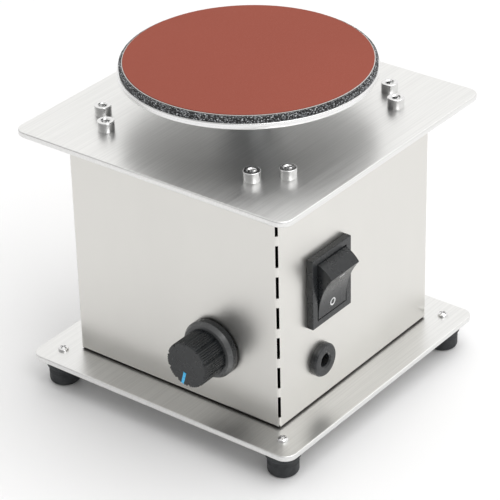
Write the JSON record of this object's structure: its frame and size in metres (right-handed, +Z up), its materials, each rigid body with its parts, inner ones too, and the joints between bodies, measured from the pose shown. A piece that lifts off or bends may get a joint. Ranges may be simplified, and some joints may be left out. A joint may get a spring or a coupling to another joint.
{
  "type": "bench disc polisher for pottery",
  "caption": "Bench disc polisher for pottery: a motor in a folded steel body turns a flat abrasive platter, with a speed knob and a rocker switch.",
  "frame": {"origin": "on the bench, under the spindle's axis and within 1.2 mm of the middle of the bounding box's bottom", "axes": "+Z up along the spindle, -Y out of the wall with the speed knob, +X out of the wall with the power switch"},
  "size_m": [0.135, 0.1373, 0.1435],
  "materials": {
    "brushed_plate": "light brushed stainless sheet with fine straight scratches and bright edges",
    "satin_body": "satin stainless sheet, folded, with soft broad reflections",
    "turned_aluminium": "turned aluminium with a bright rim",
    "hub_aluminium": "machined aluminium",
    "stainless_screw": "polished stainless fasteners",
    "zinc_steel": "zinc-plated steel",
    "black_rubber": "matt moulded rubber",
    "pad_foam": "black closed-cell foam with speckled edge",
    "hook_cloth": "black hook cloth",
    "loop_cloth": "off-white loop cloth",
    "abrasive_grit": "fine red-brown bonded grit",
    "switch_plastic": "satin charcoal nylon",
    "mark_white": "white printed mark",
    "knob_plastic": "satin charcoal plastic with fine ribs",
    "pointer_blue": "bright blue plastic insert",
    "brass_contact": "brass and bronze contacts",
    "copper_winding": "enamelled copper wire",
    "carbon": "carbon",
    "motor_steel": "plated motor steel",
    "laminated_iron": "stacked iron sheets",
    "ferrite": "sintered ferrite",
    "cap_nylon": "black moulded nylon",
    "fan_nylon": "natural nylon",
    "board_green": "green solder mask",
    "component_black": "moulded component bodies",
    "sink_black": "black anodised extrusion",
    "block_green": "green moulded terminal block",
    "wire_red": "red insulation",
    "wire_black": "black insulation",
    "wire_white": "white insulation"
  },
  "bodies": {
    "housing": {"base_plate": "brushed_plate", "body_shell": "satin_body", "top_plate": "brushed_plate", "plate_screws": "stainless_screw", "plate_nuts": "zinc_steel", "base_screws": "stainless_screw", "base_nuts": "zinc_steel", "rubber_feet": "black_rubber", "foot_screws": "stainless_screw", "foot_washers": "zinc_steel", "foot_nuts": "zinc_steel", "motor_can": "motor_steel", "motor_end_cap": "cap_nylon", "motor_magnets": "ferrite", "motor_brushes": "carbon", "motor_terminals": "brass_contact", "motor_screws": "stainless_screw", "bearing_outer_rings": "stainless_screw", "switch_housing": "switch_plastic", "switch_terminals": "brass_contact", "jack_body": "switch_plastic", "jack_contacts": "brass_contact", "jack_nut": "zinc_steel", "pot_body": "motor_steel", "pot_track": "carbon", "pot_bushing": "zinc_steel", "pot_washer": "zinc_steel", "pot_nut": "zinc_steel", "control_board": "board_green", "board_posts": "brass_contact", "board_screws": "stainless_screw", "heat_sink": "sink_black", "board_parts": "component_black", "terminal_block": "block_green", "wires_red": "wire_red", "wires_black": "wire_black", "wires_signal": "wire_white"},
    "spindle": {"bearing_inner_rings": "stainless_screw", "bearing_balls": "stainless_screw", "motor_shaft": "zinc_steel", "rotor_core": "laminated_iron", "rotor_windings": "copper_winding", "commutator": "copper_winding", "cooling_fan": "fan_nylon", "platter_hub": "hub_aluminium", "hub_set_screws": "zinc_steel", "platter": "turned_aluminium", "platter_screws": "stainless_screw", "foam_pad": "pad_foam", "hook_sheet": "hook_cloth", "disc_backing": "loop_cloth", "disc_abrasive": "abrasive_grit"},
    "speed_knob": {"pot_shaft": "zinc_steel", "knob": "knob_plastic", "knob_pointer": "pointer_blue"},
    "power_rocker": {"rocker": "switch_plastic", "rocker_marks": "mark_white", "rocker_plunger": "fan_nylon", "rocker_spring": "zinc_steel"},
    "see_saw_contact": {"contact_lever": "brass_contact"}
  },
  "joints": [
    {"name": "platter_spin", "type": "hinge", "parent": "housing", "child": "spindle", "pos_m": [0, 0, 0.13], "axis": [0, 0, 1], "continuous": true},
    {"name": "speed_turn", "type": "hinge", "parent": "housing", "child": "speed_knob", "pos_m": [0.0197, -0.05225, 0.0418], "axis": [0, 1, 0], "range_deg": [0, 300]},
    {"name": "power_rock", "type": "hinge", "parent": "housing", "child": "power_rocker", "pos_m": [0.0511, -0.0204, 0.068], "axis": [0, 1, 0], "range_deg": [-36, 0]},
    {"name": "contact_rock", "type": "hinge", "parent": "housing", "child": "see_saw_contact", "pos_m": [0.0394, -0.0204, 0.068], "axis": [0, 1, 0], "range_deg": [0, 18]}
  ],
  "couplings": [
    {"joint": "contact_rock", "follows": "power_rock", "ratio": -0.5}
  ]
}
